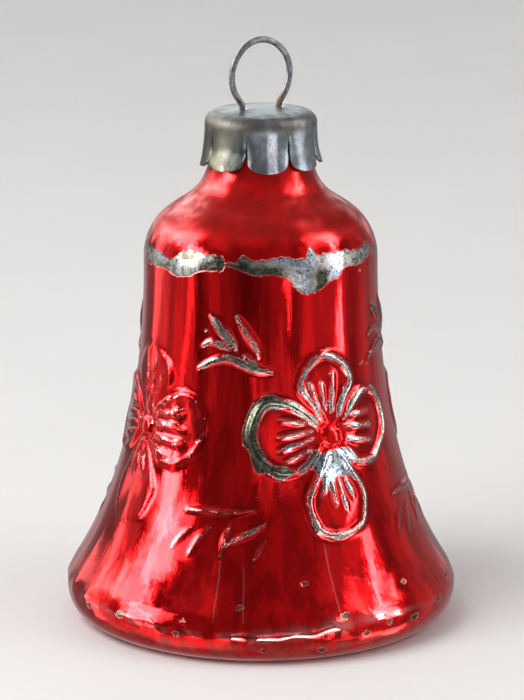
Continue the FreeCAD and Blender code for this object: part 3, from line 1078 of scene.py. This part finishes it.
class Tree:
    """Short names for building a node tree."""

    def __init__(self, owner):
        owner.use_nodes = True
        self.nodes = owner.node_tree.nodes
        self.links = owner.node_tree.links
        self.nodes.clear()

    def put(self, socket, value):
        if isinstance(value, Value):
            value = value.socket
        if isinstance(value, bpy.types.NodeSocket):
            self.links.new(value, socket)
        elif value is not None:
            socket.default_value = value

    def add(self, kind, inputs=None, **settings):
        node = self.nodes.new("ShaderNode" + kind)
        for name, value in settings.items():
            setattr(node, name, value)
        for name, value in (inputs or {}).items():
            self.put(node.inputs[name], value)
        return node

    def math(self, operation, *values, clamp=False):
        node = self.add("Math", operation=operation, use_clamp=clamp)
        for index, value in enumerate(values):
            self.put(node.inputs[index], value)
        return Value(self, node.outputs[0])

    def most(self, first, second, clamp=False):
        """The larger of two values."""
        return self.math("MAXIMUM", first, second, clamp=clamp)

    def split(self, vector):
        """The three parts of a vector."""
        parts = self.add("SeparateXYZ", {"Vector": vector}).outputs
        return [Value(self, part) for part in parts]

    def ease(self, value, low, high, to_low=0.0, to_high=1.0):
        """Smooth step of a value between two limits."""
        node = self.add("MapRange", interpolation_type="SMOOTHSTEP")
        for index, item in enumerate((value, low, high, to_low, to_high)):
            self.put(node.inputs[index], item)
        return Value(self, node.outputs[0])

    def mix(self, share, first, second):
        """Colour between two colours."""
        node = self.add("Mix", data_type="RGBA")
        self.put(node.inputs[0], share)
        self.put(node.inputs[6], first)
        self.put(node.inputs[7], second)
        return node.outputs[2]

    def attribute(self, name):
        return Value(self, self.add("Attribute", attribute_name=name).outputs["Fac"])

    def place(self, scale=(1, 1, 1)):
        """Coordinates on the object, in millimetres, stretched by a scale."""
        where = self.add("TexCoord").outputs["Object"]
        node = self.add("Mapping", {"Vector": where, "Scale": [PER_MM * part for part in scale]})
        return node.outputs[0]

    def noise(self, where, size, detail=3.0, rough=0.5, twist=0.0):
        """Noise between 0 and 1 whose blobs are about size millimetres across."""
        node = self.add("TexNoise", {
            "Vector": where, "Scale": 1 / size, "Detail": detail, "Roughness": rough, "Distortion": twist,
        })
        return Value(self, node.outputs["Fac"])

    def bump(self, height, distance, strength=1.0, normal=None):
        node = self.add("Bump", {"Height": height, "Distance": distance * MM, "Strength": strength})
        self.put(node.inputs["Normal"], normal)
        return node.outputs[0]

    def principled(self, **inputs):
        named = {name.replace("_", " "): value for name, value in inputs.items()}
        node = self.add("BsdfPrincipled", named)
        return node.outputs[0]

    def output(self, shader, kind="OutputMaterial"):
        node = self.add(kind)
        self.put(node.inputs["Surface"], shader)


def new_material(name, piece):
    material = bpy.data.materials.new(name)
    piece.data.materials.clear()
    piece.data.materials.append(material)
    return Tree(material)


RED = (0.86, 0.0048, 0.006, 1)
DEEP_RED = (0.55, 0.002, 0.004, 1)
PALE_PINK = (0.74, 0.3, 0.29, 1)
DUSTY_SHADED_RED = (0.24, 0.009, 0.008, 1)
GRIME_AND_SHADE = (0.3, 0.09, 0.07, 1)
CREASE_SHADE_COLOUR = (0.07, 0.002, 0.003, 1)
OLIVE_GREY = (0.055, 0.055, 0.035, 1)
DULL_SILVER = (0.28, 0.265, 0.25, 1)
BLUE_SILVER = (0.36, 0.4, 0.46, 1)
CREAM_SILVER = (0.06, 0.055, 0.038, 1)
BLACKENED = (0.012, 0.014, 0.014, 1)

# Fine runs in the lacquer: degrees from the front flower, lowest and highest height, lean per millimetre.
RUNS = [(-45, 5.0, 12.5, 0.02), (-36, 5.0, 12.0, -0.03), (-7, 5.4, 14.0, -0.06)]


def beside(parts, azimuth):
    """How far a place lies sideways of an azimuth, in millimetres, and whether it is on that side at all."""
    angle = math.radians(azimuth)
    sideways = parts[0] * math.cos(angle) + parts[1] * math.sin(angle)
    front = parts[0] * math.sin(angle) - parts[1] * math.cos(angle)
    return sideways, front > 0.0


def run_marks(tree):
    """Thin upright pale lines down the flare."""
    where = tree.place()
    parts = tree.split(where)
    level = parts[2]
    shake = tree.noise(where, 2.5)
    total = 0.0
    for around, low, high, lean in RUNS:
        off, facing = beside(parts, FLOWER_AZIMUTH + around)
        gap = abs(off - (level - low) * lean + (shake - 0.5) * 0.5)
        span = tree.ease(level, low, low + 0.8) * tree.ease(level, high, high - 1.5)
        total = tree.most(total, tree.ease(gap, 0.13, 0.04) * facing * span)
    return total


def lacquer_material(piece):
    """Transparent red lacquer over mirror, worn to dull silver on the high spots."""
    tree = new_material("worn_red_lacquer", piece)
    ease = tree.ease
    mix = tree.mix
    where = tree.place()
    level = tree.split(where)[2]
    facing_up = tree.split(tree.add("NewGeometry").outputs["Normal"])[2]
    patchy = tree.noise(where, 0.9, 4.0, 0.6)
    grain = tree.noise(where, 0.16, 2.0, 0.6)
    depth = tree.attribute("wear") + ((patchy - 0.5) * 0.8 + (grain - 0.5) * 0.22)
    pinholes = ease(tree.noise(where, 0.28, 1.0), 0.795, 0.83)
    bare = tree.most(ease(depth, -0.05, 0.06), pinholes * 0.7)
    thin = tree.attribute("thin") * ease(grain, 0.2, 0.75, 0.35, 1.1)
    thin = tree.most(thin, run_marks(tree) * 0.4, clamp=True)
    tone = tree.attribute("tone")

    # The red, paler where it is rubbed thin; dusty and painted darker as shade on the roof and neck; grimy
    # and painted darker as shade underneath.
    streaks = tree.noise(tree.place((1, 1, 0.1)), 1.7, 4.0, 0.55, 0.4)
    red = mix(ease(streaks, 0.38, 0.6), DEEP_RED, RED)
    red = mix(thin * 0.8, red, PALE_PINK)
    soft = tree.noise(where, 2.4, 4.0, 0.6)
    # Dust and painted shade: the upward-facing roof and the neck are darkened to a dull brownish red.
    roof = ease(facing_up, 0.42, 0.72) * ease(level, 42.0, 47.0)
    neck = ease(level, 51.5, 54.0, 0.0, 0.6)
    dust_and_shade = tree.most(roof, neck) * ease(soft, 0.3, 0.6, 0.72, 1.0)
    red = mix(dust_and_shade, red, DUSTY_SHADED_RED)
    # Grime and painted shade: darker towards the bottom, over the lower roll of the lip.
    under = ease(level, 3.4, 2.0) * ease(soft, 0.3, 0.66, 0.05, 0.6)
    red = mix(under, red, GRIME_AND_SHADE)
    # Painted shade: the creases beside ridges, veins and leaves are darkened, and made rougher.
    shaded_creases = tree.math("MULTIPLY", tree.attribute("crease_shade"), ease(patchy, 0.3, 0.6, 0.5, 0.95), clamp=True)
    red = mix(shaded_creases * 0.8, red, CREASE_SHADE_COLOUR)
    dulled = tree.most(dust_and_shade, under)

    # The bare silvering, by its tone: olive and blackened, grey, bluish, cream.
    blotch = tree.noise(where, 0.75, 4.0, 0.6, 0.6)
    mixed = tone + (blotch - 0.5) * 0.5
    silver = mix(ease(mixed, 0.12, 0.5), OLIVE_GREY, DULL_SILVER)
    silver = mix(ease(mixed, 0.58, 0.74), silver, BLUE_SILVER)
    silver = mix(ease(tone, 0.86, 0.98), silver, CREAM_SILVER)
    fouling = tree.noise(where, 0.34, 5.0, 0.7)
    flecked = ease(tone, 0.66, 0.74, 0.25, 1.0) * ease(tone, 0.85, 0.97, 1.0, 0.2)
    flecked = tree.most(flecked, ease(tone, 0.22, 0.13))
    silver = mix(ease(fouling, 0.5, 0.6) * (flecked * 0.9), silver, BLACKENED)
    silver = mix(ease(depth, 0.3, 0.02, 0.0, 0.7), silver, OLIVE_GREY)
    colour = mix(bare, red, silver)
    rim = ease(abs(depth + 0.05), 0.1, 0.03, 0.0, 0.45) * ease(patchy, 0.35, 0.6)
    colour = mix(rim, colour, PALE_PINK)

    gloss = ease(tree.noise(where, 1.8, 3.0), 0.3, 0.75, 0.05, 0.11)
    gloss = gloss + dulled * 0.22 + shaded_creases * 0.2
    matt = ease(blotch, 0.3, 0.7, 0.17, 0.4)
    covered = 1.0 - bare
    coat = tree.math("SUBTRACT", covered, dulled, clamp=True) * 0.16
    drawn = tree.bump(streaks, 0.05, 0.6)
    peel = tree.bump(tree.noise(where, 1.3, 2.0), 0.02, 0.4, drawn)
    flaked = tree.bump(blotch * bare * 0.9 - bare, 0.06, 0.8, peel)
    tree.output(tree.principled(
        Base_Color=colour, Metallic=1.0 - tree.most(bare * 0.1, dulled * 0.7),
        Roughness=gloss * covered + matt * bare, Specular_IOR_Level=(1.0 - dulled) * 0.3,
        Coat_Weight=coat, Coat_Roughness=0.04, Coat_IOR=1.5, Normal=flaked, Coat_Normal=peel,
    ))


def glass_material(piece):
    """Clear old glass, very faintly green, with fine seed bubbles."""
    tree = new_material("clear_glass", piece)
    where = tree.place()
    haze = tree.ease(tree.noise(where, 1.5), 0.4, 0.8, 0.01, 0.06)
    tint = tree.mix(tree.noise(where, 4.0), (0.93, 0.96, 0.94, 1), (0.98, 1.0, 0.99, 1))
    seeds = tree.bump(tree.ease(tree.noise(where, 0.5, 1.0), 0.72, 0.8), 0.02, 0.4)
    tree.output(tree.principled(
        Base_Color=tint, Roughness=haze, IOR=1.5, Transmission_Weight=1.0, Normal=seeds,
    ))


def silver_material(piece):
    """Mirror silvering, browned in patches."""
    tree = new_material("mirror_silvering", piece)
    where = tree.place()
    brown = tree.ease(tree.noise(where, 2.2, 5.0, 0.65), 0.52, 0.72)
    colour = tree.mix(brown, (0.8, 0.81, 0.82, 1), (0.34, 0.3, 0.24, 1))
    rough = tree.ease(brown, 0.0, 1.0, 0.07, 0.35)
    tree.output(tree.principled(Base_Color=colour, Metallic=1.0, Roughness=rough))


def cap_material(piece):
    """Thin tinned sheet, dulled and browned by handling, with upright press marks; a painted highlight
    stripe, a crown painted lighter, and the corner ring and one side painted darker as shade.
    """
    tree = new_material("tarnished_sheet", piece)
    ease = tree.ease
    mix = tree.mix
    where = tree.place()
    upright = tree.place((1, 1, 0.14))
    parts = tree.split(where)
    level = parts[2]
    mottle = tree.noise(where, 1.9, 5.0, 0.62)
    stain = tree.noise(where, 1.2, 4.0, 0.6, 0.5)
    drawn = tree.noise(upright, 0.35, 3.0, 0.6)
    spots = ease(tree.noise(where, 0.32, 4.0, 0.7), 0.58, 0.7)
    colour = mix(ease(mottle, 0.3, 0.7), (0.1, 0.113, 0.118, 1), (0.22, 0.245, 0.28, 1))
    colour = mix(ease(stain, 0.5, 0.68, 0.0, 0.45), colour, (0.1, 0.105, 0.085, 1))
    # Brown tarnish together with painted shade: the sheet is darker and browner towards -X and +Y, the side
    # that mirrors the bright light on the left.
    brown_and_shaded_side = parts[0] * -0.1 + parts[1] * 0.045 + mottle * 0.6
    colour = mix(ease(brown_and_shaded_side, 0.25, 0.95), colour, (0.06, 0.057, 0.042, 1))
    # A brown ring under the crown, darkened further as painted shade, and a crown above it painted lighter as
    # painted light on the top.
    height = level + (stain - 0.5) * 0.8
    ring = ease(height, CROWN_EDGE - 2.1, CROWN_EDGE - 1.2)
    ring = ring * ease(height, CROWN_EDGE + 0.25, CROWN_EDGE - 0.1) * ease(mottle, 0.35, 0.65, 0.95, 0.55)
    colour = mix(ring, colour, (0.075, 0.068, 0.062, 1))
    crown = ease(height, CROWN_EDGE - 0.35, CROWN_EDGE + 0.4) * ease(mottle, 0.3, 0.6, 0.5, 1.0)
    colour = mix(crown, colour, (0.33, 0.375, 0.38, 1))
    # A painted highlight: a pale upright stripe on the front petal, standing for a mirrored light, and also
    # made smoother.
    off, facing = beside(parts, HIGHLIGHT_STRIPE_AZIMUTH)
    gap = abs(off + (tree.noise(upright, 1.0) - 0.5) * 0.5)
    highlight_stripe = ease(gap, 0.75, 0.35) * facing * ease(level, CROWN_EDGE - 1.4, CROWN_EDGE - 2.6)
    highlight_stripe = highlight_stripe * ease(drawn, 0.3, 0.5, 0.6, 1.0)
    colour = mix(highlight_stripe, colour, (0.8, 0.8, 0.92, 1))
    colour = mix(spots * 0.6, colour, (0.03, 0.03, 0.022, 1))
    rough = ease(drawn * 0.5 + mottle * 0.5, 0.3, 0.7, 0.28, 0.48)
    rough = rough - highlight_stripe * 0.12 + ring * 0.2
    dents = tree.bump(stain, 0.09, 0.6)
    lines = tree.bump(drawn, 0.02, 0.6, dents)
    tree.output(tree.principled(Base_Color=colour, Metallic=0.92, Roughness=rough, Normal=lines))


def wire_material(piece):
    """Grey steel wire with die lines and rust where it enters the cap."""
    tree = new_material("old_steel_wire", piece)
    ease = tree.ease
    where = tree.place()
    parts = tree.split(where)
    patina = tree.noise(where, 0.8, 5.0, 0.65)
    steel = tree.mix(ease(patina, 0.35, 0.65), (0.07, 0.07, 0.075, 1), (0.17, 0.17, 0.19, 1))
    low = ease(parts[2], LOOP_HEIGHT - 1.6, LOOP_HEIGHT - 3.6)
    right = ease(parts[0], -0.5, 1.5, 0.35, 1.0)
    rusty = low * right * ease(patina, 0.35, 0.6)
    colour = tree.mix(rusty, steel, (0.17, 0.075, 0.03, 1))
    pits = tree.bump(tree.noise(where, 0.16, 4.0, 0.7), 0.03, 0.5)
    tree.output(tree.principled(
        Base_Color=colour, Metallic=ease(rusty, 0.0, 1.0, 0.8, 0.3),
        Roughness=ease(rusty, 0.0, 1.0, 0.5, 0.8), Normal=pits,
    ))


lacquer_material(lacquer)
glass_material(glass)
silver_material(lining)
cap_material(cap)
wire_material(wire)

# ---------------------------------------------------------------- floor, light and camera


def build_floor():
    """Wide pale floor."""
    rings = [60, 200, 600, 2000, 6000]
    sides = 64
    level = -0.03
    points = [(0, 0, level)]
    for radius in rings:
        for index in range(sides):
            angle = 2 * math.pi * index / sides
            points.append((radius * math.cos(angle), radius * math.sin(angle), level))
    faces = [[0, 1 + index, 1 + (index + 1) % sides] for index in range(sides)]
    faces += ring_faces(len(rings), sides, first=1, inward=True)
    floor = make_object("floor", points, faces)
    tree = new_material("pale_floor", floor)
    where = tree.place()
    colour = tree.mix(tree.noise(where, 40.0), (0.66, 0.65, 0.64, 1), (0.71, 0.7, 0.69, 1))
    tree.output(tree.principled(Base_Color=colour, Roughness=0.8))
    # Mirrored glass would show nothing but this floor, so its reflection comes from the surroundings below.
    floor.visible_glossy = False


# Surroundings as seen in the mirrored glass. Bearings run from the camera's side towards its right.
# Each entry: bearings, elevations, softness of the edges, brightness.
PANELS = [
    ((-84, -70), (4, 18), 2, 30.0),
    ((-89, -66), (15, 30), 3, 26.0),
    ((-116, -82), (22, 44), 4, 17.0),
    ((-128, -78), (42, 52), 4, 3.0),
    ((-68, -56), (15, 27), 3, 6.0),
    ((-146, -116), (5, 16), 4, 1.2),
    ((-134, -108), (14, 28), 3, 4.0),
    ((-165, -118), (20, 38), 5, 6.5),
    ((-124, -112), (-30, 12), 2, 1.5),
    ((-114, -96), (-40, 24), 4, 0.55),
    ((-94, -65), (-40, 0), 3, 0.42),
    ((-76, -71), (-40, 0), 1.5, 1.4),
    ((-64, -54), (-22, -5), 3, -0.13),
    ((-49, -39), (-40, 4), 2, 0.16),
    ((-62, -30), (34, 56), 5, 0.3),
    ((-17, -4), (-24, 0), 4, -0.13),
    ((-12, 32), (0, 13), 4, 0.6),
    ((21, 26), (-17, -8), 1.5, 4.0),
    ((79, 98), (27, 50), 3, 20.0),
    ((77, 86), (-9, 32), 2, 18.0),
    ((60, 82), (36, 50), 4, 6.0),
    ((96, 136), (54, 74), 4, 3.0),
    ((42, 93), (-26, 42), 7, 0.4),
    ((8, 46), (-60, 60), 9, 0.05),
    ((106, 122), (-40, 50), 5, 0.2),
    ((118, 162), (-60, 50), 5, 0.08),
    ((-168, -142), (56, 84), 4, 1.2),
    ((-8, 42), (-36, -23), 3, 14.0),
    ((50, 72), (-42, -31), 3, 1.0),
    ((72, 105), (-44, -30), 3, 4.5),
    ((-92, -20), (-64, -30), 8, 0.9),
    ((40, 100), (-64, -50), 8, 0.4),
    ((-192, -150), (-60, 60), 6, 0.2),
    ((168, 200), (-60, 60), 6, 0.05),
    ((-200, -150), (3, 34), 6, 1.2),
    ((150, 200), (3, 34), 6, 1.0),
]
DARK_ROOM = 0.25
CEILING_GLOW = 0.1
FLOOR_GLOW = 0.1
SOFT_FILL = 0.5
# How far the edges of what the glass mirrors wander, in degrees.
BEARING_WANDER = 22.0
ELEVATION_WANDER = 26.0


def build_surroundings():
    world = bpy.data.worlds.new("studio")
    bpy.context.scene.world = world
    tree = Tree(world)
    ease = tree.ease
    seen = tree.add("TexCoord").outputs["Generated"]
    turned = tree.add(
        "VectorRotate", {"Vector": seen, "Angle": math.radians(-VIEW_AZIMUTH)}, rotation_type="Z_AXIS",
    ).outputs[0]
    parts = tree.split(turned)
    bearing = tree.math("DEGREES", tree.math("ARCTAN2", parts[0], parts[1] * -1.0))
    elevation = tree.math("DEGREES", tree.math("ARCSINE", parts[2]))
    # Old glass is never quite even, so everything it mirrors has wandering edges.
    bearing = bearing + (tree.noise(turned, 1 / 3.5, 4.0, 0.6) - 0.5) * BEARING_WANDER
    elevation = elevation + (tree.noise(turned, 1 / 9, 3.0, 0.55) - 0.5) * ELEVATION_WANDER
    floor = ease(elevation, -30.0, -62.0) * FLOOR_GLOW
    ceiling = ease(elevation, 40.0, 75.0) * CEILING_GLOW
    total = floor + ceiling + DARK_ROOM
    for (left, right), (low, high), soft, bright in PANELS:
        sideways = ease(bearing, left - soft, left + soft) * ease(bearing, right + soft, right - soft)
        upward = ease(elevation, low - soft, low + soft) * ease(elevation, high + soft, high - soft)
        total = total + sideways * upward * bright
    mirrored = tree.add("Background", {"Color": (1, 1, 1, 1), "Strength": total}).outputs[0]
    soft_fill = tree.add("Background", {"Color": (1.0, 0.99, 0.98, 1), "Strength": SOFT_FILL}).outputs[0]
    # Only what the camera sees mirrored is bright; light bounced off the bell onto the floor stays soft.
    path = tree.add("LightPath").outputs
    share = (Value(tree, path["Diffuse Depth"]) < 0.5) * path["Is Glossy Ray"]
    both = tree.add("MixShader", {"Fac": share})
    tree.put(both.inputs[1], soft_fill)
    tree.put(both.inputs[2], mirrored)
    tree.output(both.outputs[0], "OutputWorld")


def around_view(bearing, elevation, distance):
    """Place at a bearing from the camera's side, round the middle of the object."""
    azimuth = math.radians(VIEW_AZIMUTH + bearing)
    tilt = math.radians(elevation)
    return Vector((
        distance * math.sin(azimuth) * math.cos(tilt),
        -distance * math.cos(azimuth) * math.cos(tilt),
        VIEW_HEIGHT + distance * math.sin(tilt),
    )) * MM


def add_softbox(name, bearing, elevation, distance, size, power):
    light = bpy.data.lights.new(name, "AREA")
    light.shape = "RECTANGLE"
    light.size = size * MM
    light.size_y = size * MM
    light.energy = power
    lamp = bpy.data.objects.new(name, light)
    lamp.location = around_view(bearing, elevation, distance)
    lamp.rotation_euler = (-lamp.location).to_track_quat("-Z", "Y").to_euler()
    lamp.visible_glossy = False
    bpy.context.scene.collection.objects.link(lamp)


def build_camera():
    camera = bpy.data.cameras.new("camera")
    camera.lens = VIEW_LENS
    camera.sensor_width = 36.0
    camera.shift_x = VIEW_SHIFT
    camera.clip_start = 0.01
    camera.clip_end = 50.0
    viewer = bpy.data.objects.new("camera", camera)
    target = Vector((0, 0, VIEW_HEIGHT * MM))
    viewer.location = around_view(0, VIEW_ELEVATION, VIEW_DISTANCE)
    viewer.rotation_euler = (target - viewer.location).to_track_quat("-Z", "Y").to_euler()
    bpy.context.scene.collection.objects.link(viewer)
    bpy.context.scene.camera = viewer


build_floor()
build_surroundings()
add_softbox("key_softbox", -55, 48, 620, 420, 3.6)
add_softbox("fill_softbox", 70, 35, 700, 420, 1.2)
build_camera()
bpy.context.scene.view_settings.view_transform = "Standard"
